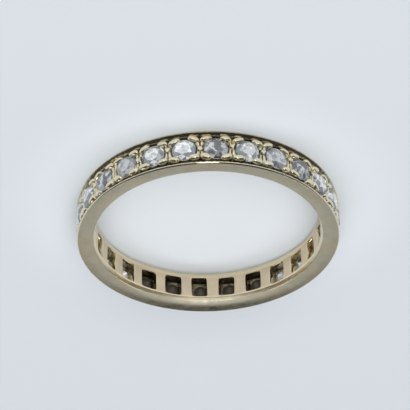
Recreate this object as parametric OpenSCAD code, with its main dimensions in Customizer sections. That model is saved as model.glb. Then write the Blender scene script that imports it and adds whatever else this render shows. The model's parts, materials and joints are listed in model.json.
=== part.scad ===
// Full eternity ring lying on its side: round stones set all the way round a band.
// The ring's axis is Z, and the band's lower side face lies on z = 0.

/* [Band] */
// Inner diameter, where the finger goes in
finger_d = 17; // [15:0.1:20]
// Height of the band along the ring's axis
band_w = 2.95; // [2.8:0.05:3.6]
// Thickness of the band, from its inner face to the top of its edge rails
band_wall = 1.35; // [1.25:0.05:1.7]
// Radius of the rounded inner edges
inner_round = 0.35; // [0.15:0.05:0.4]
// Bevel along the outer edge of each rail
rail_bevel = 0.1; // [0.04:0.01:0.12]

/* [Stones] */
// Number of stones in the full circle
stone_n = 26; // [20:1:27]
// Diameter of a stone across its girdle
stone_d = 1.8; // [1.6:0.05:1.95]
// Width of a stone's flat table, corner to corner
table_d = 1.08; // [0.9:0.02:1.2]
// Height of the crown above the girdle
crown_h = 0.27; // [0.2:0.01:0.32]
// Thickness of the girdle
girdle_t = 0.04; // [0.02:0.01:0.08]
// Depth of the pavilion below the girdle
pavilion_h = 0.75; // [0.65:0.005:0.85]
// Height of the tables above the tops of the edge rails
table_rise = 0.07; // [0:0.01:0.12]
// Gap between a stone and its seat
seat_gap = 0.02; // [0.01:0.005:0.03]
// Turn of each stone about its own axis, from the stone before it, in degrees
turn_step = 17; // [0:1:44]
// Share of the gap that a stone's lean takes up at its girdle
lean_share = 0.6; // [0:0.1:0.8]

/* [Setting] */
// Depth of the bed between neighbouring stones below the tops of the rails
bed_depth = 0.24; // [0.15:0.01:0.3]
// Depth of the groove along each rail below the tops of the rails
groove_depth = 0.4; // [0.32:0.01:0.45]
// Distance from a stone's girdle out to the bottom of the groove
groove_out = 0.12; // [0.08:0.01:0.14]
// Width of the groove's slope on the rail's side
rail_slope = 0.17; // [0.1:0.01:0.2]
// Width of the groove's slope on the stones' side
bed_slope = 0.16; // [0.12:0.01:0.18]
// Radius of a grain, four of which hold each stone
grain_r = 0.25; // [0.2:0.01:0.27]
// Distance from a stone's girdle out to the middle of a grain
grain_out = 0.175; // [0.15:0.005:0.19]
// Depth of a grain's middle below the tops of the rails
grain_sink = 0.27; // [0.22:0.01:0.3]
// Width of the saw cut between two stones
cut_w = 0.1; // [0.06:0.01:0.16]
// Depth of the saw cut below the tops of the rails
cut_depth = 0.5; // [0.42:0.01:0.6]

/* [Windows] */
// Width of a window round the inner face
window_w = 1.25; // [1:0.05:1.35]
// Height of a window along the ring's axis
window_h = 1.7; // [1.5:0.05:1.8]
// Metal left above a window's top, up to the tops of the rails
window_cover = 0.45; // [0.4:0.01:0.6]

/* [Hidden] */
// How far a cutting shape runs past the metal it cuts
past = 0.5;
// Number of crown and pavilion mains on a stone
mains = 8;
// Radius of the star tips and of the lower facets' tips, as shares of the girdle's radius
star_share = 0.8;
lower_share = 0.2;

inner_r = finger_d / 2;
rail_r = inner_r + band_wall;
mid_z = band_w / 2;

girdle_r = stone_d / 2;
table_level = rail_r + table_rise;
girdle_top = table_level - crown_h;
girdle_low = girdle_top - girdle_t;
culet_level = girdle_low - pavilion_h;
most_lean = asin(lean_share * seat_gap / girdle_r);

step = 360 / mains;
star_r = girdle_r * star_share;
star_h = crown_h * (girdle_r - star_r * cos(step / 2)) / (girdle_r - table_d / 2);
lower_r = girdle_r * lower_share;
lower_h = pavilion_h * (1 - lower_share * cos(step / 2));

bed_level = rail_r - bed_depth;
groove_level = rail_r - groove_depth;
groove_z = girdle_r + groove_out;
rail_in_z = groove_z + rail_slope;
bed_z = groove_z - bed_slope;
cut_level = rail_r - cut_depth;
cut_end_z = groove_z - bed_slope / 2;
window_top = rail_r - window_cover;
grain_at = (girdle_r + grain_out) * cos(45);

function two_digits(k) = str(k < 10 ? "0" : "", k);
function stone_name(k) = str("stone_", two_digits(k));

// Points of a regular polygon with n corners at height h
function corners(r, h, turn, n) =
    [for (i = [0:n - 1]) [r * cos(turn + i * 360 / n), r * sin(turn + i * 360 / n), h]];

// Puts its children at an angle round the ring, where their z is the distance from the ring's axis
module at_place(turn) {
    rotate([0, 0, turn - 90])
        translate([0, 0, mid_z])
            rotate([0, 90, 0])
                children();
}

// Puts its children at stone k, or halfway to the next one where k ends in a half
module at_stone(k) {
    at_place((k - 1) * 360 / stone_n) children();
}

// Leans its children with stone k, about the middle of the stone's girdle
module with_lean(k) {
    translate([0, 0, girdle_top])
        rotate([most_lean * sin(97 * k), most_lean * cos(61 * k), 0])
            translate([0, 0, -girdle_top])
                children();
}

// Section of the band with nothing cut from it: radius along x, height along y
module band_section() {
    translate([inner_r + inner_round, 0])
        square([band_wall - inner_round, band_w]);
    translate([inner_r, inner_round])
        square([band_wall, band_w - 2 * inner_round]);
    for (z = [inner_round, band_w - inner_round])
        translate([inner_r + inner_round, z])
            circle(r = inner_round, $fn = 48);
}

// Section of what is cut away between the rails: the bed and a groove along each rail
module bed_section() {
    polygon([
        [rail_r + past, mid_z - rail_in_z],
        [rail_r, mid_z - rail_in_z],
        [groove_level, mid_z - groove_z],
        [bed_level, mid_z - bed_z],
        [bed_level, mid_z + bed_z],
        [groove_level, mid_z + groove_z],
        [rail_r, mid_z + rail_in_z],
        [rail_r + past, mid_z + rail_in_z],
    ]);
}

// Section of what the bevel takes off a lower outer edge that lies at the origin
module bevel_section() {
    polygon([
        [-rail_bevel, -past],
        [-rail_bevel, 0],
        [0, rail_bevel],
        [past, rail_bevel],
        [past, -past],
    ]);
}

// The band with its rails and bed, turned round the ring's axis
module plain_band() {
    rotate_extrude($fn = 180)
        difference() {
            band_section();
            bed_section();
            translate([rail_r, 0]) bevel_section();
            translate([rail_r, band_w]) mirror([0, 1]) bevel_section();
        }
}

// The four grains round one stone
module grains() {
    for (x = [-grain_at, grain_at], y = [-grain_at, grain_at])
        translate([x, y, rail_r - grain_sink])
            sphere(r = grain_r, $fn = 32);
}

// Space for one stone: its own outline, turned round its axis and let out by the gap
module seat() {
    rotate_extrude($fn = 64)
        polygon([
            [0, culet_level - 2 * seat_gap],
            [girdle_r + seat_gap, girdle_low - seat_gap / 2],
            [girdle_r + seat_gap, girdle_top + seat_gap / 2],
            [star_r + seat_gap, girdle_top + star_h + seat_gap],
            [table_d / 2 + seat_gap, table_level + seat_gap],
            [table_d / 2 + seat_gap, table_level + past],
            [0, table_level + past],
        ]);
}

// Square window behind one stone, cut through from the inner face
module window() {
    translate([-window_h / 2, -window_w / 2, inner_r - past])
        cube([window_h, window_w, window_top - inner_r + past]);
}

// Saw cut across the bed, halfway between two stones
module saw_cut() {
    translate([-cut_end_z, -cut_w / 2, cut_level])
        cube([2 * cut_end_z, cut_w, rail_r - cut_level + past]);
}

module band() {
    color([0.80, 0.77, 0.68])
        difference() {
            union() {
                plain_band();
                for (k = [1:stone_n]) at_stone(k) grains();
            }
            for (k = [1:stone_n]) {
                at_stone(k) seat();
                at_stone(k) window();
                at_stone(k + 0.5) saw_cut();
            }
        }
}

// Round brilliant with its axis along z and the top of its girdle at the origin
module brilliant() {
    table = corners(table_d / 2, crown_h, 0, mains);
    star = corners(star_r, star_h, step / 2, mains);
    rim = corners(girdle_r, 0, 0, 2 * mains);
    low_rim = corners(girdle_r, -girdle_t, 0, 2 * mains);
    lower = corners(lower_r, -girdle_t - lower_h, step / 2, mains);
    culet = [[0, 0, -girdle_t - pavilion_h]];

    // Where each ring of points starts in the list
    s = mains;
    g = s + mains;
    h = g + 2 * mains;
    l = h + 2 * mains;
    c = l + mains;

    function next(i) = (i + 1) % mains;
    function last(i) = (i + mains - 1) % mains;
    function round_rim(j) = j % (2 * mains);

    polyhedron(
        points = concat(table, star, rim, low_rim, lower, culet),
        faces = concat(
            [[for (i = [mains - 1:-1:0]) i]],
            [for (i = [0:mains - 1]) [i, next(i), s + i]],
            [for (i = [0:mains - 1]) [i, s + i, g + 2 * i, s + last(i)]],
            [for (i = [0:mains - 1]) [s + i, g + 2 * i + 1, g + 2 * i]],
            [for (i = [0:mains - 1]) [s + i, g + round_rim(2 * i + 2), g + 2 * i + 1]],
            [for (j = [0:2 * mains - 1]) [h + j, g + j, g + round_rim(j + 1), h + round_rim(j + 1)]],
            [for (i = [0:mains - 1]) [l + i, h + 2 * i, h + 2 * i + 1]],
            [for (i = [0:mains - 1]) [l + i, h + 2 * i + 1, h + round_rim(2 * i + 2)]],
            [for (i = [0:mains - 1]) [c, l + last(i), h + 2 * i, l + i]]
        )
    );
}

module stone(k) {
    color([0.84, 0.87, 0.91])
        at_stone(k)
            with_lean(k)
                translate([0, 0, girdle_top])
                    rotate(turn_step * k)
                        brilliant();
}

band();
for (k = [1:stone_n])
    stone(k);
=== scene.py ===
"""Looks for a full eternity ring that lies on its side: worked band, grains, stones, floor and light.

All lengths are in metres. A place on the band is given by the angle round the ring's axis, the height
above the band's middle plane, and the distance from the axis. One cell is the stretch of band that holds
one stone. The upper rail is the one away from the floor.
"""

import json
import math

import bpy
import numpy as np
from mathutils import Matrix, Vector


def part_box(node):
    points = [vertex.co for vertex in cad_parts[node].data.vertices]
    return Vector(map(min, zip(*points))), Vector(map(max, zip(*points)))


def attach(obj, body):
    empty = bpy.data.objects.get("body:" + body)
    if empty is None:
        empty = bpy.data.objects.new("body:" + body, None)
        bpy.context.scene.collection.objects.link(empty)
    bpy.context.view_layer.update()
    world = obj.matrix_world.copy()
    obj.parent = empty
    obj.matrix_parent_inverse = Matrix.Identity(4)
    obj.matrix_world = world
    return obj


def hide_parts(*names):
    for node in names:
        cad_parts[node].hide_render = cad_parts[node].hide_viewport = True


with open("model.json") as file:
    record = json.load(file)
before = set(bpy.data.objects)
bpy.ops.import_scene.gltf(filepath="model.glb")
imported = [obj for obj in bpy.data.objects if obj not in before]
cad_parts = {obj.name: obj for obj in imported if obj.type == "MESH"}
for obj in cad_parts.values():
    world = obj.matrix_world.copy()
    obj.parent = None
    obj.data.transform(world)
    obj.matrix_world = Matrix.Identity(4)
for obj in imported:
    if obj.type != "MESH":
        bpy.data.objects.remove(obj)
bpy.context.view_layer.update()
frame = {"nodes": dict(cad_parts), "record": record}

MM = 0.001
TURN = 2 * math.pi

# Sizes that the frame gives
band_low, band_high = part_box("band")
band_w = band_high[2] - band_low[2]
half_w = band_w / 2
mid_z = (band_high[2] + band_low[2]) / 2
rail_r = (band_high[0] - band_low[0]) / 2
finger = [m for m in frame["record"]["mounts"] if m["name"] == "finger"][0]
inner_r = finger["dims"]["r_mm"] * MM
stone_names = sorted(n for n in frame["nodes"] if n.startswith("stone_"))
stone_n = len(stone_names)
pitch = TURN / stone_n
half_pitch = pitch / 2

# The first stone is the one nearest to the camera, and the far side lies across the ring from it
first_stone = -math.pi / 2

# Levels of the setting, as distances from the ring's axis
girdle_low = rail_r - 0.24 * MM
girdle_top = rail_r - 0.20 * MM
bed_level = rail_r - 0.22 * MM
groove_level = rail_r - 0.50 * MM
ledge_level = inner_r + 0.80 * MM

# Sizes across the setting
girdle_r = 0.90 * MM
table_r = 0.54 * MM
crown_h = 0.27 * MM
seat_r = 0.925 * MM
groove_z = 1.08 * MM
bed_slope = 0.30 * MM
rail_in_z = 1.325 * MM
rail_cut = 0.20 * MM
rail_bevel = 0.085 * MM
clear_of_crown = 0.012 * MM
clear_of_seat = 0.006 * MM

# Windows: their size, how far up they stand, their rounded rim, and how their corners are drawn in. Round
# a place window_turn past the far side they stand wider apart than the stones, by window_stretch, and one
# stands at most shift_most beside its stone.
window_w = 1.25 * MM
window_h = 1.58 * MM
window_up = 0.04 * MM
window_rim = 0.045 * MM
corner_in = 0.035 * MM
corner_reach = 0.22 * MM
window_stretch = 0.052
window_turn = math.radians(25)
shift_most = 0.22 * MM

# What a hand has worked into the bed: at each border between stones a saw cut with a ridge on either side
# and a bead, and dents and unevenness all over. The bed ends in a lip under each stone.
cut_half = 0.05 * MM
cut_depth = 0.24 * MM
cut_shift = 0.035 * MM
ridge_h = 0.14 * MM
ridge_w = 0.08 * MM
ridge_off = 0.15 * MM
ridge_beads = 0.5 * MM
bead_h = 0.21 * MM
bead_r = 0.25 * MM
bead_z = -0.2 * MM
dent_h = 0.03 * MM
uneven_h = 0.014 * MM
lip_drop = 0.04 * MM

# The side faces lean in, more and more on the way to the hole, and end in a slanting inner edge
lean_outer = math.tan(math.radians(5))
lean_inner = math.tan(math.radians(15.5))
side_low = inner_r + 0.115 * MM
side_top = rail_r - 0.84 * rail_bevel
side_drop = (side_top - side_low) * (2 * lean_outer + lean_inner) / 3
inner_edge_z = 0.94 * MM

# How much dirt and painted shade there is: in every window, how much more painted shade in those of the far
# side, the angles from the far side between which that fades, on the window walls beside the rails, and the
# heights between which painted shade sets in along the trench of the upper rail
window_soil_and_shade = 0.2
far_window_shade = 0.7
far_fade = (0.55, 0.95)
window_wall_shade = 0.72
rail_trench_shade_z = (0.81 * MM, 0.95 * MM)

# How finely the surfaces are worked out, and how near to each other two points are one
side_steps = 22
bed_rows = 17
grain_columns = 18
grain_rings = 11
same_point = 1e-4 * MM


def smooth_step(low, high, x):
    """0 below low, 1 above high, and an even S between them."""
    t = np.clip((x - low) / (high - low), 0.0, 1.0)
    return t * t * (3 - 2 * t)


def bump(x, width):
    """1 at x = 0, falling off on both sides as a bell of that width."""
    return np.exp(-((x / width) ** 2))


def wavy(angle, z, seed, coarse, fine, waves=32, drift=7000.0):
    """A hand's unevenness, about -1 to 1: a sum of sines, each with whole waves round the ring.

    There are from coarse to fine of them round it. Each wave starts at a place of its own, and drifts with
    height by up to that many radians a metre.
    """
    own = np.random.default_rng(seed)
    turns = own.integers(coarse, fine, waves)
    lifts = own.uniform(-drift, drift, waves)
    starts = own.uniform(0, TURN, waves)
    total = np.zeros(np.broadcast(angle, z).shape)
    for turn, lift, start in zip(turns, lifts, starts):
        total = total + np.sin(turn * angle + lift * z + start)
    return total / math.sqrt(waves)


def placed(angle, z, r):
    """Points of the ring: angle round the axis, height above the middle plane, distance from the axis."""
    angle, z, r = np.broadcast_arrays(angle, z, r)
    return np.stack([r * np.cos(angle), r * np.sin(angle), z + mid_z], axis=-1)


def many_grids(grids, flip=False):
    """Points and quads of several grids of one size, an array of shape (grids, rows, columns, 3).

    Quads join neighbouring points, and the last column of each grid to its first.
    """
    count, rows, columns = grids.shape[:3]
    i, j = np.meshgrid(np.arange(rows - 1), np.arange(columns), indexing="ij")
    right = (j + 1) % columns
    corners = [i * columns + j, i * columns + right, (i + 1) * columns + right, (i + 1) * columns + j]
    one = np.stack(corners, axis=-1).reshape(-1, 4)
    faces = one[None] + (np.arange(count) * rows * columns)[:, None, None]
    faces = faces.reshape(-1, 4)
    return grids.reshape(-1, 3), faces[:, ::-1] if flip else faces


def make_mesh(name, parts, sharp_degrees):
    """One mesh object from several (points, quads, masks): doubles merged, faces smooth, steep edges sharp.

    The masks are numbers from 0 to 1 at each point, kept in the mesh as attributes for the finish to read.
    """
    starts = np.cumsum([0] + [len(points) for points, _, _ in parts[:-1]])
    points = np.concatenate([points for points, _, _ in parts])
    quads = np.concatenate([quads + start for (_, quads, _), start in zip(parts, starts)])
    # Points that round to one place on a grid of same_point are one point
    cube = np.round(points / same_point).astype(np.int64)
    _, first, index = np.unique(cube, axis=0, return_index=True, return_inverse=True)
    points = points[first]
    quads = index.reshape(-1)[quads]
    # At a pole two corners of a quad are one point, and the quad becomes a triangle
    kept = quads != np.roll(quads, -1, axis=1)
    corners = kept.sum(axis=1)
    kept[corners < 3] = False
    corners = corners[corners >= 3]
    mesh = bpy.data.meshes.new(name)
    mesh.vertices.add(len(points))
    mesh.vertices.foreach_set("co", points.astype(np.float32).ravel())
    mesh.loops.add(int(corners.sum()))
    mesh.loops.foreach_set("vertex_index", quads[kept].astype(np.int32))
    mesh.polygons.add(len(corners))
    mesh.polygons.foreach_set("loop_start", (np.cumsum(corners) - corners).astype(np.int32))
    mesh.polygons.foreach_set("use_smooth", np.ones(len(corners), dtype=bool))
    mesh.update(calc_edges=True)
    mesh.validate()
    mesh.set_sharp_from_angle(angle=math.radians(sharp_degrees))
    for mask in parts[0][2]:
        values = np.concatenate([masks[mask].ravel() for _, _, masks in parts])[first]
        layer = mesh.attributes.new(mask, "FLOAT", "POINT")
        layer.data.foreach_set("value", values.astype(np.float32))
    piece = bpy.data.objects.new(name, mesh)
    bpy.context.scene.collection.objects.link(piece)
    return piece


# The band

def box_path(a, b):
    """The outline of a box from -a to a and -b to b, side_steps points a side, from one corner round."""
    s = np.arange(side_steps) / side_steps
    one = np.ones(side_steps)
    y = np.concatenate([a * one, a - 2 * a * s, -a * one, -a + 2 * a * s])
    z = np.concatenate([-b + 2 * b * s, b * one, b - 2 * b * s, -b * one])
    return y, z


def window_outlines(own, centre):
    """Points round each window, a box with its corners drawn in, a little shifted, turned and resized.

    The windows of the far side stand wider apart than the stones: the shift grows evenly with the angle
    from a place window_turn past that side's middle, bends off to shift_most, and fades again further
    round. Also gives the box's own z, which tells its sides apart.
    """
    from_far = (centre - first_stone - window_turn) % TURN - math.pi
    wider = window_stretch * from_far * (1 - smooth_step(1.2, 2.4, np.abs(from_far)))
    wider = shift_most * np.tanh(inner_r * wider / shift_most)
    shift_y = wider + own.normal(0, 0.015 * MM, (stone_n, 1, 1))
    shift_z = window_up + own.normal(0, 0.02 * MM, (stone_n, 1, 1))
    turn = own.normal(0, math.radians(1.6), (stone_n, 1, 1))
    wide = own.normal(1, 0.025, (stone_n, 1, 1))
    high = own.normal(1, 0.02, (stone_n, 1, 1))
    box_y, box_z = box_path(window_w / 2, window_h / 2)
    to_corner = window_w / 2 - np.abs(box_y) + window_h / 2 - np.abs(box_z)
    drawn_in = corner_in * np.clip(1 - to_corner / corner_reach, 0, 1)
    box_y = (box_y - np.sign(box_y) * drawn_in) * wide
    box_z = (box_z - np.sign(box_z) * drawn_in) * high
    y = box_y * np.cos(turn) - box_z * np.sin(turn) + shift_y
    z = box_y * np.sin(turn) + box_z * np.cos(turn) + shift_z
    return y, z, box_z


def worked_borders(own):
    """What is cut and raised at each border between stones, one value a border."""
    return {
        "cut": cut_depth * own.uniform(0.5, 1.2, stone_n),
        "shift": cut_shift * own.uniform(-1, 1, stone_n),
        "askew": 0.06 * own.uniform(-1, 1, stone_n),
        "left": ridge_h * own.uniform(0.2, 1.1, stone_n),
        "left_at": ridge_beads * own.uniform(0, 1, stone_n),
        "right": ridge_h * own.uniform(0.2, 1.1, stone_n),
        "right_at": ridge_beads * own.uniform(0, 1, stone_n),
        "bead": bead_h * (own.uniform(0, 1, stone_n) < 0.85) * own.uniform(0.75, 1.15, stone_n),
        "bead_z": own.normal(bead_z, 0.12 * MM, stone_n),
    }


def row_of_beads(z, start):
    """From 0.2 to 1, high once every ridge_beads of height: a cosine without its sign, to the power 1.5."""
    return 0.2 + 0.8 * np.abs(np.cos(math.pi * (z - start) / ridge_beads)) ** 1.5


def bed_height(off, z, angle, borders):
    """Distance of the worked bed from the axis.

    A level bed bends down, as a sine does from its top, to the groove at each rail. Near each border
    between stones a V-shaped saw cut runs across, a little off and askew, with a ridge on either side of
    it, and at most of them a round bead sits near mid height. A hand's unevenness lies over all of it.
    All but the bead fade out towards the groove. A point takes its border's values from its own cell
    where off is above 0, and from the cell before otherwise.
    """
    def at_border(name):
        """The value at the border that a point is nearest to."""
        values = borders[name]
        return np.where(off > 0, values[:, None, None], np.roll(values, 1)[:, None, None])

    past = -np.sign(off) * (half_pitch - np.abs(off)) * bed_level
    line = past - at_border("shift") - at_border("askew") * z
    to_groove = groove_z - np.abs(z)
    side = np.sin(math.pi / 2 * np.clip(to_groove / bed_slope, 0, 1))
    inside = smooth_step(0.1 * bed_slope, 0.9 * bed_slope, to_groove)
    left = at_border("left") * bump(line + ridge_off, ridge_w) * row_of_beads(z, at_border("left_at"))
    right = at_border("right") * bump(line - ridge_off, ridge_w) * row_of_beads(z, at_border("right_at"))
    from_bead = ((past - at_border("shift")) ** 2 + (z - at_border("bead_z")) ** 2) / bead_r ** 2
    bead = at_border("bead") * np.clip(1 - from_bead, 0, 1) ** 0.5
    open_cut = inside * (1 - np.clip(bead / (0.1 * MM), 0, 1))
    cut = at_border("cut") * np.clip(1 - np.abs(line) / cut_half, 0.0, 1.0) * open_cut
    dents = dent_h * np.clip(wavy(angle, z, 9, 90, 330) - 0.4, 0, 1.5)
    uneven = uneven_h * wavy(angle, z, 5, 60, 400) - dents
    worn = (left + right + uneven) * inside
    return groove_level + (bed_level - groove_level) * side + worn + bead - cut


def rail_soil(z, depth, shallow, deep):
    """Painted shade along the trench of the upper rail: more with height and with depth, from shallow to
    deep.
    """
    return smooth_step(*rail_trench_shade_z, z) * smooth_step(shallow, deep, depth)


def band_cells():
    """The band's surface in each cell, one sheet from the inner face out to the groove along each rail.

    Each row of points goes once round the stone: the border of the inner face, the window's edge, its
    wall, the ledge under the stone, the seat, and then the bed out to the border of the outer face. The
    rows of the bed blend from the seat's circle to the border's box, and rise as bed_height says.
    """
    own = np.random.default_rng(11)
    centre = (first_stone + pitch * np.arange(stone_n))[:, None, None]
    rows = []
    masks = {"recess": [], "satin": [], "dark": []}

    def add(off, z, r, recess, satin, dark):
        """One row of points round every stone, with its masks."""
        off, z, r, recess, satin, dark = np.broadcast_arrays(off + 0 * centre, z, r, recess, satin, dark)
        rows.append(placed(centre + off, z, r))
        masks["recess"].append(recess)
        masks["satin"].append(satin)
        masks["dark"].append(dark)

    window_y, window_z, box_z = window_outlines(own, centre)
    reach = np.hypot(window_y, window_z)

    def window_row(grow, r):
        """The window's outline, let out by grow, at distance r from the axis."""
        y = window_y * (1 + grow / reach)
        z = window_z * (1 + grow / reach)
        return np.arcsin(y / r), z, r

    # Dirt and painted shade in every window, and much more painted shade in those of the far side; the
    # walls beside the rails get it nearer the rim as well
    from_far = np.abs((centre - first_stone) % TURN - math.pi)
    window_dark = window_soil_and_shade + far_window_shade * (1 - smooth_step(*far_fade, from_far))
    wall_dark = np.where(np.abs(box_z) > 0.9 * box_z.max(), window_wall_shade, 0.0) * window_dark

    # The inner face, from the border of the cell to the window's rim
    edge_off, edge_z = box_path(half_pitch, inner_edge_z)
    rim_off, rim_z, _ = window_row(window_rim, inner_r)
    for t in (0.0, 0.3, 0.65, 1.0):
        z = (1 - t) * edge_z + t * rim_z
        darkened = 0.30 * (1 - smooth_step(0.80 * MM, inner_edge_z, np.abs(z)))
        add((1 - t) * edge_off + t * rim_off, z, inner_r, 0.0, 0.5, darkened)

    # The window's rim and wall: let out by, distance from the axis, recess, satin and dark
    wall = (
        (0.35 * window_rim, inner_r + 0.3 * window_rim, 0.0, 0.3, 0.3 * wall_dark),
        (0.0, inner_r + window_rim, 0.0, 0.3, 0.9 * wall_dark),
        (-0.06 * MM, inner_r + 0.24 * MM, 0.0, 0.4, np.maximum(wall_dark, 0.1 * window_dark)),
        (-0.07 * MM, (inner_r + ledge_level) / 2, 0.1, 0.5, np.maximum(wall_dark, 0.5 * window_dark)),
        (-0.08 * MM, ledge_level - 0.04 * MM, 0.1, 0.5, window_dark),
    )
    for grow, r, recess, satin, dark in wall:
        add(*window_row(grow, r), recess, satin, dark)

    # The ledge's round hole, smaller where there's more dirt and painted shade, and the foot of the seat,
    # both painted darker by them
    border_off, border_z = box_path(half_pitch, groove_z)
    round_stone = np.arctan2(border_z, border_off * bed_level)
    ledge_r = (own.uniform(0.40, 0.52, (stone_n, 1, 1)) + 0.30 * (1 - window_dark)) * MM
    for ring, r in ((ledge_r, ledge_level), (seat_r, girdle_low)):
        off = np.arcsin(ring * np.cos(round_stone) / r)
        add(off, ring * np.sin(round_stone), r, 0.15, 0.5, 1.1 * window_dark)

    # The bed, with painted shade round the stone, in its depths and along the upper rail
    borders = worked_borders(own)
    seat_off = np.arcsin(seat_r * np.cos(round_stone) / bed_level)
    seat_z = seat_r * np.sin(round_stone)
    for i, t in enumerate(np.linspace(0.0, 1.0, bed_rows) ** 0.8):
        off = (1 - t) * seat_off + t * border_off
        z = (1 - t) * seat_z + t * border_z
        r = bed_height(off[None, None], z[None, None], centre + off, borders)
        depth = bed_level - r
        recess = np.clip(depth / (0.16 * MM), 0, 1)
        dark = np.maximum(rail_soil(z, depth, 0.06 * MM, 0.2 * MM), 0.9 * (1 - smooth_step(0.1, 0.45, t)))
        dark = np.maximum(dark, 0.8 * smooth_step(0.05 * MM, 0.14 * MM, depth))
        if i == 0:
            # The lip of the bed, at the stone
            r = r - lip_drop
            recess = np.maximum(recess, 0.8)
        add(off, z, r, recess, 0.0, 0.9 * dark)

    points, quads = many_grids(np.concatenate(rows, axis=1), flip=True)
    return points, quads, {name: np.concatenate(values, axis=1) for name, values in masks.items()}


def rounded(corners, steps=3):
    """A broken line with its corners drawn round, steps + 1 points each.

    Each corner is (z, r, size, recess, satin, dark). Its curve starts on the leg before it and ends on the
    leg after it, both at that size from the corner, and in between it is the blend of start, corner and
    end by the squares of 1 - t and t and twice their product, with t from 0 to 1.
    """
    corners = np.array(corners)
    points = [corners[0]]
    for before, corner, after in zip(corners, corners[1:], corners[2:]):
        start = corner + (before - corner) * corner[2] / np.hypot(*(before - corner)[:2])
        end = corner + (after - corner) * corner[2] / np.hypot(*(after - corner)[:2])
        t = np.linspace(0, 1, steps + 1)[:, None]
        points.extend((1 - t) ** 2 * start + 2 * t * (1 - t) * corner + t ** 2 * end)
    points.append(corners[-1])
    return np.array(points)[:, [0, 1, 3, 4, 5]]


def rail_profile():
    """Half section of a rail: height, distance from the axis, recess, satin and dark at each point.

    It runs from the groove's bottom up the cut along the rail, over the rail's narrow top and its bevel,
    down the side face and over a slanting inner edge. The side face leans more and more on the way to the
    hole: its slope grows with the square of the way.
    """
    fine = 0.010 * MM
    soft = 0.03 * MM
    # The dark column is painted shade on the cut and on the rail's top
    points = rounded([
        (groove_z, groove_level, 0, 1.0, 0, 0),
        (rail_in_z - rail_cut, rail_r - 1.15 * rail_cut, soft, 0.7, 0, 0.4),
        (rail_in_z, rail_r, fine, 0.0, 0, 0.35),
        (half_w - rail_bevel, rail_r, fine, 0.0, 0, 0.35),
        (half_w, side_top, fine, 0.0, 0.3, 0),
        (half_w, side_top - 2 * soft, 0, 0.0, 1.0, 0),
    ])[:-1]
    side = []
    for t in np.linspace(0.06, 1.0, 9):
        drop = (side_top - side_low) * (lean_outer * t + (lean_inner - lean_outer) * t ** 3 / 3)
        side.append((half_w - drop, side_top + t * (side_low - side_top), 0.0, 1.0, 0.0))
    corner = (half_w - side_drop, side_low)
    middle = ((corner[0] + inner_edge_z) / 2 + 0.001 * MM, (corner[1] + inner_r) / 2 - 0.002 * MM)
    edge = rounded([
        (side[-2][0], side[-2][1], 0, 0, 1.0, 0),
        (*corner, 1.5 * fine, 0, 1.0, 0),
        (*middle, 4 * soft, 0, 0.7, 0),
        (inner_edge_z, inner_r, 0, 0, 0.5, 0),
    ])[1:]
    return np.concatenate([points, side[:-1], edge])


def band_rails():
    """The two rails with their side faces and slanting inner edges: the profile, turned round the axis.

    The upper edge of the cut along each rail wanders a little, as a hand-cut one does. The lower rail's cut
    and top are painted darker as painted shade, the upper rail's only a fifth as much, with painted shade
    at the foot of its cut.
    """
    profile = rail_profile()
    z, r, recess, satin, dark = profile[:, :, None].transpose(1, 0, 2)
    steps = stone_n * side_steps
    angle = first_stone - half_pitch + TURN * np.arange(steps) / steps
    cut_edge = (np.abs(z - rail_in_z) < 0.02 * MM) & (r > rail_r - 0.05 * MM)
    in_groove = (z < rail_in_z) & (r > groove_level - 0.01 * MM)
    foot = 0.9 * smooth_step(rail_r - 0.10 * MM, rail_r - 0.25 * MM, r) * in_groove
    parts = []
    # Painted shade on the cut and top of the lower rail, a fifth of it on the upper rail, and painted shade
    # at the foot of the upper rail's cut
    for side, rail_painted_dark in ((1, np.maximum(0.2 * dark, foot)), (-1, dark)):
        wander = 0.012 * MM * wavy(angle, 0.0, 31 + side, 20, 260)
        dip = 0.006 * MM * wavy(angle, 0.0, 41 + side, 20, 260)
        rail = placed(angle, side * (z + cut_edge * wander), r + cut_edge * dip)
        points, quads = many_grids(rail[None], flip=side < 0)
        masks = {"recess": recess + 0 * angle, "satin": satin + 0 * angle, "dark": rail_painted_dark + 0 * angle}
        parts.append((points, quads, masks))
    return parts


# Grains of metal that hold the stones

def pushed_clear(y, z, r):
    """Moves points out of the stone's space: away from its own axis, to just clear of girdle and crown."""
    from_axis = np.hypot(y, z)
    crown = girdle_r - (r - girdle_top) / crown_h * (girdle_r - table_r)
    limit = np.where(r > girdle_top, np.maximum(crown, table_r), seat_r) + clear_of_crown
    limit = np.minimum(limit, seat_r + clear_of_seat)
    scale = np.maximum(from_axis, limit) / from_axis
    return y * scale, z * scale


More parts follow.
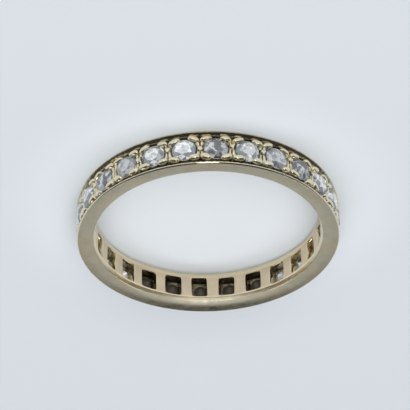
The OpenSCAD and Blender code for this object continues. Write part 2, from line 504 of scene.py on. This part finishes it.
def grain_points():
    """Four grains a stone, each a pressed ball: half-axes along, across and out, turned a little.

    A ball's point is (a cos v cos u, b cos v sin u, c sin v), where b is longer on the rail's side than on
    the stone's. Its upper half is drawn to a crest of height c (1 - cos v to a power). The power is 6 along
    the grain, and across it 4 beside the lower rail and 3.6 beside the upper one, whose grains are a little
    rounder. What would lie in the stone is pushed clear of it, so the grain hugs the crown.
    """
    own = np.random.default_rng(7)
    u = TURN * np.arange(grain_columns) / grain_columns
    v = np.linspace(-math.pi / 2, math.pi / 2, grain_rings)[:, None]
    count = 4 * stone_n
    stone = np.repeat(np.arange(stone_n), 4)
    side_y = np.tile([1, 1, -1, -1], stone_n)[:, None, None]
    side_z = np.tile([1, -1, 1, -1], stone_n)[:, None, None]
    lower = side_z < 0

    def each(low, high):
        """A random number for each grain."""
        return own.uniform(low, high, (count, 1, 1))

    along = each(0.50, 0.62) * MM
    toward_rail = each(0.40, 0.48) * MM * np.where(lower, 0.8, 0.85)
    toward_stone = each(0.20, 0.26) * MM * np.where(lower, 1.2, 1.35)
    out = each(0.46, 0.52) * MM
    y = along * np.cos(v) * np.cos(u)
    z = np.cos(v) * np.sin(u)
    z = z * np.where(z * side_z > 0, toward_rail, toward_stone)
    power = np.where(lower, 4.0, 3.6) * np.sin(u) ** 2 + 6.0 * np.cos(u) ** 2
    r = out * np.where(v > 0, 1 - np.cos(v) ** power, np.sin(v) + 0 * u)
    turn = np.radians(each(2, 26)) * (-side_y * side_z)
    tip = each(-0.15, 0.15)
    y, z, r = y * np.cos(turn) - z * np.sin(turn), y * np.sin(turn) + z * np.cos(turn), r + tip * y
    y = y + side_y * each(0.70, 0.78) * MM
    z = z + side_z * (each(0.62, 0.68) + np.where(lower, 0.15, 0.09)) * MM
    r = r + rail_r - each(0.45, 0.48) * MM
    y, z = pushed_clear(y, z, r)
    # A grain ends just short of the border to the next stone's
    border = half_pitch * r * 0.985
    y = np.clip(y, -border, border)
    centre = (first_stone + pitch * stone)[:, None, None]
    points, quads = many_grids(placed(centre + y / r, z, r))
    # Painted shade on the deep flanks: recess colour and dark, most along the trench of the upper rail
    depth = rail_r - r
    recess = np.clip((depth - 0.18 * MM) / (0.25 * MM), 0, 1)
    dark = rail_soil(z, depth, 0.10 * MM, 0.24 * MM)
    dark = np.maximum(dark, 0.8 * smooth_step(0.16 * MM, 0.24 * MM, depth))
    return points, quads, {"recess": recess, "satin": 0 * recess, "dark": 0.9 * dark}


# Nodes that the finishes are made of

def shader_group(name, inputs, outputs):
    """A node group with named sockets, together with what comes into it and what goes out.

    An input is a colour if its value is one, and otherwise a number.
    """
    group = bpy.data.node_groups.new(name, "ShaderNodeTree")
    for socket_name, value in inputs.items():
        kind = "NodeSocketColor" if isinstance(value, tuple) else "NodeSocketFloat"
        socket = group.interface.new_socket(name=socket_name, in_out="INPUT", socket_type=kind)
        socket.default_value = value
    for socket_name, kind in outputs.items():
        group.interface.new_socket(name=socket_name, in_out="OUTPUT", socket_type=kind)
    return group, group.nodes.new("NodeGroupInput").outputs, group.nodes.new("NodeGroupOutput").inputs


def feed(tree, socket, value):
    """Gives a socket its value: a number or colour of its own, or what another node puts out."""
    if isinstance(value, (int, float, tuple)):
        socket.default_value = value
    else:
        tree.links.new(value, socket)


def noise(tree, vector, scale, detail=3.0, rough=0.55):
    """Soft clouds round 0.5, with scale of them to the metre."""
    node = tree.nodes.new("ShaderNodeTexNoise")
    node.inputs["Detail"].default_value = detail
    node.inputs["Roughness"].default_value = rough
    feed(tree, node.inputs["Scale"], scale)
    tree.links.new(vector, node.inputs["Vector"])
    return node.outputs["Fac"]


def straight_patches(tree, vector, scale):
    """Patches with straight sides, scale of them to the metre, each with three random numbers."""
    node = tree.nodes.new("ShaderNodeTexVoronoi")
    node.inputs["Scale"].default_value = scale
    tree.links.new(vector, node.inputs["Vector"])
    split = tree.nodes.new("ShaderNodeSeparateColor")
    tree.links.new(node.outputs["Color"], split.inputs[0])
    return split.outputs


def math_node(tree, operation, *values, clamp=False):
    """What one math node makes of numbers or of what other nodes put out."""
    node = tree.nodes.new("ShaderNodeMath")
    node.operation = operation
    node.use_clamp = clamp
    for socket, value in zip(node.inputs, values):
        feed(tree, socket, value)
    return node.outputs[0]


def plus(tree, a, b, clamp=False):
    """The sum of a and b."""
    return math_node(tree, "ADD", a, b, clamp=clamp)


def times(tree, a, b, clamp=False):
    """The product of a and b."""
    return math_node(tree, "MULTIPLY", a, b, clamp=clamp)


def vector_node(tree, operation, *values):
    """The same for vectors. A length and a dot product are numbers."""
    node = tree.nodes.new("ShaderNodeVectorMath")
    node.operation = operation
    for socket, value in zip(node.inputs, values):
        feed(tree, socket, value)
    return node.outputs["Value" if operation in ("LENGTH", "DOT_PRODUCT") else "Vector"]


def stretch(tree, value, low, high, to_low=0.0, to_high=1.0):
    """Spreads the values between low and high over to_low to to_high, as an even S."""
    node = tree.nodes.new("ShaderNodeMapRange")
    node.interpolation_type = "SMOOTHSTEP"
    tree.links.new(value, node.inputs["Value"])
    for name, number in (("From Min", low), ("From Max", high), ("To Min", to_low), ("To Max", to_high)):
        node.inputs[name].default_value = number
    return node.outputs["Result"]


def mix_colour(tree, factor, a, b):
    """Colour a where the factor is 0, b where it's 1, and a blend in between."""
    node = tree.nodes.new("ShaderNodeMix")
    node.data_type = "RGBA"
    tree.links.new(factor, node.inputs["Factor"])
    a_socket, b_socket = [s for s in node.inputs if s.type == "RGBA"]
    feed(tree, a_socket, a)
    feed(tree, b_socket, b)
    return [s for s in node.outputs if s.type == "RGBA"][0]


# Finishes

metal_gold = (0.87, 0.81, 0.61, 1)
metal_blush = (0.97, 0.78, 0.54, 1)
metal_warm_reflection = (0.62, 0.55, 0.37, 1)
metal_grime_and_shade = (0.11, 0.09, 0.055, 1)
metal_dull = (0.50, 0.47, 0.36, 1)
metal_soil_and_shade = (0.085, 0.07, 0.045, 1)
stone_shade = (0.17, 0.20, 0.22, 1)
stone_patch_shade = (0.06, 0.07, 0.08, 1)
stone_spark_shade = (0.03, 0.035, 0.04, 1)
stone_soil_and_shade = (0.058, 0.046, 0.029, 1)

# The blush of the inner face, and the dirt and painted shade on the stones, fade out between these
# distances from the axis
blush_r = (inner_r, inner_r + 0.07 * MM)
stone_soil_and_shade_r = (inner_r + 0.55 * MM, inner_r + 1.05 * MM)

# How many clouds, patches and sparks there are to the metre in a stone
stone_clouds = 1600.0
stone_patches = 2600.0
stone_sparks = 5200.0

# Lines round the ring in the metal: how fine, how drawn out along the ring, and how close across it
line_scale = 900.0
line_along = 0.012
line_across = 14.0

lowest_roughness = 0.06
diamond_ior = 2.417


def worked_gold_group():
    """How handled white gold varies over its surface.

    Cloudy patches and fine lines that run round the ring change the gloss. The metal blushes in broad
    patches and all over the inner face. In the recesses dirt and painted shade darken it and painted warm
    reflections tint it, and where the dark mask says, dirt and painted shade darken it further.
    """
    inputs = {
        "Metal": metal_gold,
        "Blush": metal_blush,
        "Warm_reflection": metal_warm_reflection,
        "Grime_and_shade": metal_grime_and_shade,
        "Recess": 0.0,
        "Satin": 0.0,
        "Dark": 0.0,
        "Polished": 0.15,
        "Dulled": 0.35,
        "Patches": 900.0,
    }
    outputs = {"Colour": "NodeSocketColor", "Roughness": "NodeSocketFloat", "Height": "NodeSocketFloat"}
    group, given, kept = shader_group("worked_gold", inputs, outputs)
    where = group.nodes.new("ShaderNodeTexCoord").outputs["Object"]

    # Place as angle round the ring, distance from its axis and height, for lines that run round
    split = group.nodes.new("ShaderNodeSeparateXYZ")
    group.links.new(where, split.inputs[0])
    angle = math_node(group, "ARCTAN2", split.outputs["Y"], split.outputs["X"])
    radius = vector_node(group, "LENGTH", vector_node(group, "MULTIPLY", where, (1, 1, 0)))
    run_round = group.nodes.new("ShaderNodeCombineXYZ")
    group.links.new(times(group, angle, line_along), run_round.inputs["X"])
    group.links.new(times(group, radius, line_across), run_round.inputs["Y"])
    group.links.new(times(group, split.outputs["Z"], line_across), run_round.inputs["Z"])

    patches = noise(group, where, given["Patches"], 4.0)
    specks = noise(group, where, 9000.0, 2.0)
    lines = noise(group, run_round.outputs[0], line_scale, 3.0, 0.7)
    # Dirt in the recesses, partly real dirt and partly painted shade that darkens the trenches
    grime_and_shade = stretch(group, noise(group, where, 2600.0), 0.35, 0.7, 0.1, 0.85)
    grime_and_shade = times(group, given["Recess"], grime_and_shade, clamp=True)

    # Colour: blushed metal; in the recesses painted warm reflections and dirt with painted shade; clouded
    # where satin; and dirt with painted shade on top
    blush = stretch(group, noise(group, where, 380.0, 2.0), 0.40, 0.62, 0.0, 0.45)
    inside = stretch(group, radius, *blush_r, 0.85, 0.0)
    metal = mix_colour(group, math_node(group, "MAXIMUM", blush, inside), given["Metal"], given["Blush"])
    metal = mix_colour(group, stretch(group, grime_and_shade, 0.0, 0.45), metal, given["Warm_reflection"])
    metal = mix_colour(group, stretch(group, grime_and_shade, 0.45, 0.9), metal, given["Grime_and_shade"])
    cloud = stretch(group, patches, 0.3, 0.7, 0.0, 0.16)
    cloud = times(group, cloud, plus(group, given["Satin"], 0.3))
    metal = mix_colour(group, cloud, metal, metal_dull)
    # Dirt and painted shade where the piece's dark mask says
    unlit = times(group, given["Dark"], stretch(group, patches, 0.25, 0.6, 0.75, 1.0))
    group.links.new(mix_colour(group, unlit, metal, metal_soil_and_shade), kept["Colour"])

    # Gloss: polished to dulled by satin, uneven by patches and lines, and dull in the dirt and painted
    # shade of the recesses
    dulled = math_node(group, "SUBTRACT", given["Dulled"], given["Polished"])
    rough = plus(group, given["Polished"], times(group, given["Satin"], dulled))
    uneven = plus(group, times(group, patches, 0.6), times(group, lines, 0.4))
    uneven = times(group, math_node(group, "SUBTRACT", uneven, 0.5), 0.3)
    rough = plus(group, rough, uneven)
    rough = plus(group, rough, times(group, grime_and_shade, 0.25), clamp=True)
    group.links.new(math_node(group, "MAXIMUM", rough, lowest_roughness), kept["Roughness"])

    # Relief: lines where satin, specks, and the patches
    height = plus(group, times(group, lines, given["Satin"]), times(group, specks, 0.25))
    height = plus(group, height, times(group, patches, 0.6))
    group.links.new(height, kept["Height"])
    return group


def cloudy_stone_group():
    """How a small stone's body varies: clouds, painted reflections on facets, patches and sparks, and dirt
    with painted shade.

    Some crown facets and straight-sided patches are painted darker as painted reflections, and a few small
    patches, the sparks, are painted all but black. Dirt and painted shade darken the backs of the stones,
    towards the ring's axis.
    """
    inputs = {
        "Body": (0.9, 0.9, 0.9, 1),
        "Cloud": (0.6, 0.6, 0.6, 1),
        "Amount": 0.5,
        "Haze": 0.03,
        "Facets": 0.5,
        "Patches": 0.5,
        "Sparks": 0.5,
        "Soil_and_shade": 0.9,
    }
    outputs = {"Colour": "NodeSocketColor", "Roughness": "NodeSocketFloat"}
    group, given, kept = shader_group("cloudy_stone", inputs, outputs)
    where = group.nodes.new("ShaderNodeTexCoord").outputs["Object"]

    cloud = stretch(group, noise(group, where, stone_clouds, 4.0, 0.6), 0.42, 0.68)
    body = mix_colour(group, times(group, cloud, given["Amount"]), given["Body"], given["Cloud"])

    # Painted reflections on facets of the crown, told apart by the way they face. The table and the back
    # don't count.
    flat = vector_node(group, "MULTIPLY", where, (1, 1, 0))
    facing = group.nodes.new("ShaderNodeNewGeometry").outputs["True Normal"]
    outward = vector_node(group, "DOT_PRODUCT", facing, vector_node(group, "NORMALIZE", flat))
    on_crown = times(group, stretch(group, outward, 0.2, 0.5), stretch(group, outward, 0.97, 0.92))
    facet = times(group, stretch(group, noise(group, facing, 7.0, 1.0), 0.42, 0.50), on_crown)
    body = mix_colour(group, times(group, facet, given["Facets"]), body, stone_shade)

    # Patches and sparks, painted reflections that darken the body, the sparks all but black
    patch = stretch(group, straight_patches(group, where, stone_patches)[0], 0.52, 0.64)
    body = mix_colour(group, times(group, patch, given["Patches"]), body, stone_patch_shade)
    spark = stretch(group, straight_patches(group, where, stone_sparks)[1], 0.74, 0.80)
    body = mix_colour(group, times(group, spark, given["Sparks"]), body, stone_spark_shade)

    # Dirt and painted shade on the back, towards the ring's axis
    back_soil_and_shade = stretch(group, vector_node(group, "LENGTH", flat), *stone_soil_and_shade_r, 1.0, 0.0)
    back_soil_and_shade = times(group, back_soil_and_shade, given["Soil_and_shade"], clamp=True)
    group.links.new(mix_colour(group, back_soil_and_shade, body, stone_soil_and_shade), kept["Colour"])
    haze = times(group, cloud, given["Haze"])
    group.links.new(math_node(group, "MULTIPLY_ADD", back_soil_and_shade, 0.6, haze), kept["Roughness"])
    return group


def effect_material(name, group, given):
    """A material whose colour and roughness come from a node group, which gets these values."""
    material = bpy.data.materials.new(name)
    material.use_nodes = True
    tree = material.node_tree
    shader = tree.nodes["Principled BSDF"]
    effect = tree.nodes.new("ShaderNodeGroup")
    effect.node_tree = group
    for socket_name, value in given.items():
        effect.inputs[socket_name].default_value = value
    tree.links.new(effect.outputs["Colour"], shader.inputs["Base Color"])
    tree.links.new(effect.outputs["Roughness"], shader.inputs["Roughness"])
    return material, shader, effect


def gold_material(name, group, polished, dulled, patches, bump_height):
    """White gold with its own polish. The masks of its piece say where it's recessed, satin and dark."""
    given = {"Polished": polished, "Dulled": dulled, "Patches": patches}
    material, shader, effect = effect_material(name, group, given)
    tree = material.node_tree
    for mask in ("recess", "satin", "dark"):
        layer = tree.nodes.new("ShaderNodeAttribute")
        layer.attribute_name = mask
        tree.links.new(layer.outputs["Fac"], effect.inputs[mask.capitalize()])
    relief = tree.nodes.new("ShaderNodeBump")
    relief.inputs["Strength"].default_value = 0.5
    relief.inputs["Distance"].default_value = bump_height
    tree.links.new(effect.outputs["Height"], relief.inputs["Height"])
    tree.links.new(relief.outputs["Normal"], shader.inputs["Normal"])
    shader.inputs["Metallic"].default_value = 1.0
    return material


def stone_material(name, group, given, clear, gloss):
    """A brilliant's glassy body: clear is the share of light that goes through, the rest is milky."""
    material, shader, effect = effect_material(name, group, given)
    shader.inputs["IOR"].default_value = diamond_ior
    shader.inputs["Transmission Weight"].default_value = clear
    shader.inputs["Specular IOR Level"].default_value = gloss
    return material


worked_gold = worked_gold_group()
cloudy_stone = cloudy_stone_group()
band_gold = gold_material("band_gold", worked_gold, 0.10, 0.17, 1100.0, 0.005 * MM)
grain_gold = gold_material("grain_gold", worked_gold, 0.20, 0.3, 2600.0, 0.006 * MM)

# The kinds of stone: the colours of body and clouds, how much of each thing they show, and in the last
# two columns how clear and how glossy they are
stone_columns = ("Body", "Cloud", "Amount", "Haze", "Facets", "Patches", "Sparks", "Soil_and_shade")
stone_looks = {
    "clear": ((0.97, 0.98, 0.99, 1), (0.80, 0.83, 0.87, 1), 0.3, 0.03, 0.50, 0.95, 0.60, 0.7, 0.45, 0.5),
    "cloudy": ((0.94, 0.96, 0.98, 1), (0.72, 0.76, 0.82, 1), 0.5, 0.06, 0.80, 0.40, 0.25, 0.7, 0.50, 0.5),
    "milky": ((1.00, 1.00, 0.99, 1), (0.90, 0.92, 0.93, 1), 0.4, 0.08, 0.95, 0.34, 0.40, 0.7, 0.20, 0.5),
    "white": ((1.00, 1.00, 0.99, 1), (0.96, 0.97, 0.97, 1), 0.4, 0.06, 0.95, 0.32, 0.25, 0.7, 0.08, 0.5),
    # The darkened kind is painted shade: dirt and shade on its back, less clear and less glossy
    "darkened": ((0.98, 0.99, 1.00, 1), (0.82, 0.85, 0.88, 1), 0.5, 0.06, 0.70, 0.35, 0.20, 3.0, 0.20, 0.08),
    "backlit": ((1.00, 1.00, 1.00, 1), (0.86, 0.88, 0.92, 1), 0.4, 0.06, 0.40, 0.30, 0.20, 0.0, 0.20, 0.5),
}
stone_kinds = {}
for kind, (*given, clear, gloss) in stone_looks.items():
    given = dict(zip(stone_columns, given))
    stone_kinds[kind] = stone_material(kind + "_brilliant", cloudy_stone, given, clear, gloss)

gold_band = make_mesh("gold_band", [band_cells()] + band_rails(), 40)
gold_band.data.materials.append(band_gold)
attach(gold_band, "root")
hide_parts("band")

grains = make_mesh("grains", [grain_points()], 60)
grains.data.materials.append(grain_gold)
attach(grains, "root")
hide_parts("band")

# Which kind each stone is: by number where the photograph tells, and the rest by chance
numbers_of_kind = {
    "clear": (1, 5, 24),
    "cloudy": (4, 25),
    "milky": (3, 23, 26),
    "white": (2, 22),
    # The far side's stones get the darkened kind, painted shade; those beside them the backlit kind, with
    # none
    "backlit": (8, 9, 10, 11, 17, 18, 19, 20),
    "darkened": (12, 13, 14, 15, 16),
}
known_kinds = {}
for kind, numbers in numbers_of_kind.items():
    known_kinds.update({f"stone_{number:02d}": kind for number in numbers})
by_chance = np.random.default_rng(3).choice(["clear", "cloudy", "milky"], stone_n)
for name, chance in zip(stone_names, by_chance):
    for slot in bpy.data.objects[name].material_slots:
        slot.material = stone_kinds[known_kinds.get(name, str(chance))]


# Floor

floor_reach = 1.5
floor_pale = (0.80, 0.84, 0.88, 1)
floor_paler = (0.82, 0.86, 0.90, 1)
floor_outer_shade = (0.715, 0.755, 0.795, 1)
floor_shade_fade = (8 * MM, 17 * MM)

floor_mesh = bpy.data.meshes.new("floor")
floor_corners = [(x * floor_reach, y * floor_reach, 0) for x, y in ((-1, -1), (1, -1), (1, 1), (-1, 1))]
floor_mesh.from_pydata(floor_corners, [], [(0, 1, 2, 3)])
floor = bpy.data.objects.new("floor", floor_mesh)
bpy.context.scene.collection.objects.link(floor)
floor_material = bpy.data.materials.new("pale_floor")
floor_material.use_nodes = True
floor_tree = floor_material.node_tree
floor_shader = floor_tree.nodes["Principled BSDF"]
floor_place = floor_tree.nodes.new("ShaderNodeTexCoord").outputs["Object"]
floor_colour = mix_colour(floor_tree, noise(floor_tree, floor_place, 40.0, 2.0), floor_pale, floor_paler)
# The floor is painted a little darker away from the ring, painted shade outside a pool of light round it
away = stretch(floor_tree, vector_node(floor_tree, "LENGTH", floor_place), *floor_shade_fade)
floor_colour = mix_colour(floor_tree, away, floor_colour, floor_outer_shade)
floor_tree.links.new(floor_colour, floor_shader.inputs["Base Color"])
floor_shader.inputs["Roughness"].default_value = 0.9
floor_shader.inputs["Specular IOR Level"].default_value = 0.1
floor_mesh.materials.append(floor_material)


# Light

# Brightness of the sky by degrees above the horizon: near is the camera's side, far a narrow strip across
# from it, beside the rest of that side, and wide both ends. The dark stretches are what gives the polished
# metal its dark reflections.
near_stops = ((-90, 0.8), (-5, 0.8), (5, 0.85), (20, 0.7), (31, 0.06), (64, 0.04), (80, 0.22), (90, 0.3))
far_stops = (
    (-90, 0.7), (-5, 0.45), (10, 0.36), (30, 0.36), (37, 0.34), (41, 0.0),
    (49, 0.0), (53, 0.36), (57, 0.65), (66, 0.85), (75, 0.9), (90, 0.4),
)
beside_stops = (
    (-90, 0.8), (5, 0.5), (14, 0.42), (24, 0.40), (35, 0.39),
    (48, 0.37), (58, 0.5), (75, 0.6), (90, 0.4),
)
wide_stops = ((-90, 0.8), (-5, 0.7), (10, 0.65), (18, 0.5), (25, 0.08), (62, 0.05), (80, 0.22), (90, 0.3))

# Where one stretch of sky fades into the next, by x and y of the direction
strip_x = -0.061
strip_fade = (0.035, 0.075)
near_to_far = (-0.35, 0.35)
wide_fade = (0.38, 0.62)


def sky_ramp(tree, height, stops):
    """Grey light by the sine of the height above the horizon, given as (degrees, brightness)."""
    ramp = tree.nodes.new("ShaderNodeValToRGB")
    ramp.color_ramp.interpolation = "EASE"
    points = [((math.sin(math.radians(degrees)) + 1) / 2, value) for degrees, value in stops]
    while len(ramp.color_ramp.elements) < len(points):
        ramp.color_ramp.elements.new(0.5)
    for element, (place, value) in zip(ramp.color_ramp.elements, points):
        element.position = place
        element.color = (value * 0.97, value, value * 1.03, 1.0)
    tree.links.new(height, ramp.inputs["Fac"])
    return ramp.outputs["Color"]


world = bpy.data.worlds.new("soft_studio")
bpy.context.scene.world = world
world.use_nodes = True
sky = world.node_tree
toward = sky.nodes.new("ShaderNodeSeparateXYZ")
sky.links.new(sky.nodes.new("ShaderNodeTexCoord").outputs["Generated"], toward.inputs[0])
height = math_node(sky, "MULTIPLY_ADD", toward.outputs["Z"], 0.5, 0.5)
from_strip = math_node(sky, "ABSOLUTE", plus(sky, toward.outputs["X"], -strip_x))
beside = stretch(sky, from_strip, *strip_fade)
far_sky = mix_colour(sky, beside, sky_ramp(sky, height, far_stops), sky_ramp(sky, height, beside_stops))
far_side = stretch(sky, toward.outputs["Y"], *near_to_far)
sky_colour = mix_colour(sky, far_side, sky_ramp(sky, height, near_stops), far_sky)
wide = stretch(sky, math_node(sky, "ABSOLUTE", toward.outputs["X"]), *wide_fade)
sky_colour = mix_colour(sky, wide, sky_colour, sky_ramp(sky, height, wide_stops))
sky.links.new(sky_colour, sky.nodes["Background"].inputs["Color"])


def soft_box(name, place, size, power, mirrored=True):
    """A soft box that faces the ring. Metal doesn't mirror it where mirrored is False."""
    light = bpy.data.lights.new(name, "AREA")
    light.shape = "RECTANGLE"
    light.size, light.size_y = size
    light.energy = power
    lamp = bpy.data.objects.new(name, light)
    bpy.context.scene.collection.objects.link(lamp)
    lamp.location = place
    lamp.rotation_euler = (Vector() - Vector(place)).to_track_quat("-Z", "Y").to_euler()
    lamp.visible_glossy = mirrored


soft_box("left_box", (0.30, 0.10, 0.40), (0.20, 0.20), 0.25)
soft_box("right_box", (-0.30, 0.10, 0.40), (0.20, 0.20), 0.25)
soft_box("front_box", (0, -0.50, 0.134), (0.50, 0.05), 0.13)
soft_box("fill_box", (0, -0.48, 0.30), (0.40, 0.30), 1.70, mirrored=False)
soft_box("top_box", (0, 0.05, 0.60), (0.60, 0.60), 1.35, mirrored=False)
soft_box("key_box", (0.02, -0.47, 0.38), (0.14, 0.05), 0.14)


# Camera, at the photograph's angle to the ring and turned over, so that the ring's near side is at the top

view_height = math.radians(34.85)
view_turn = math.radians(4.42)
view_roll = math.radians(1.69)
view_distance = 175.8 * MM
photo_px = 410
focal_px = 2332
ring_px = (207.9, 224.8)

level = math.cos(view_height)
toward_camera = Vector((math.sin(view_turn) * level, -math.cos(view_turn) * level, math.sin(view_height)))
centre = Vector((0, 0, mid_z))
right = Vector((math.cos(view_turn), math.sin(view_turn), 0))
up = toward_camera.cross(right)
image_right = -math.cos(view_roll) * right + math.sin(view_roll) * up
image_up = -math.sin(view_roll) * right - math.cos(view_roll) * up
off_right = (ring_px[0] - photo_px / 2) / focal_px * view_distance
off_down = (ring_px[1] - photo_px / 2) / focal_px * view_distance
aim = centre - off_right * image_right + off_down * image_up
camera_data = bpy.data.cameras.new("camera")
camera_data.lens = camera_data.sensor_width * focal_px / photo_px
camera_data.clip_start = 0.01
camera = bpy.data.objects.new("camera", camera_data)
bpy.context.scene.collection.objects.link(camera)
place = centre + view_distance * toward_camera
back = (place - aim).normalized()
across = (image_right - back * image_right.dot(back)).normalized()
turned = Matrix((across, back.cross(across), back)).transposed()
camera.matrix_world = Matrix.Translation(place) @ turned.to_4x4()
bpy.context.scene.camera = camera
bpy.context.scene.view_settings.view_transform = "Standard"
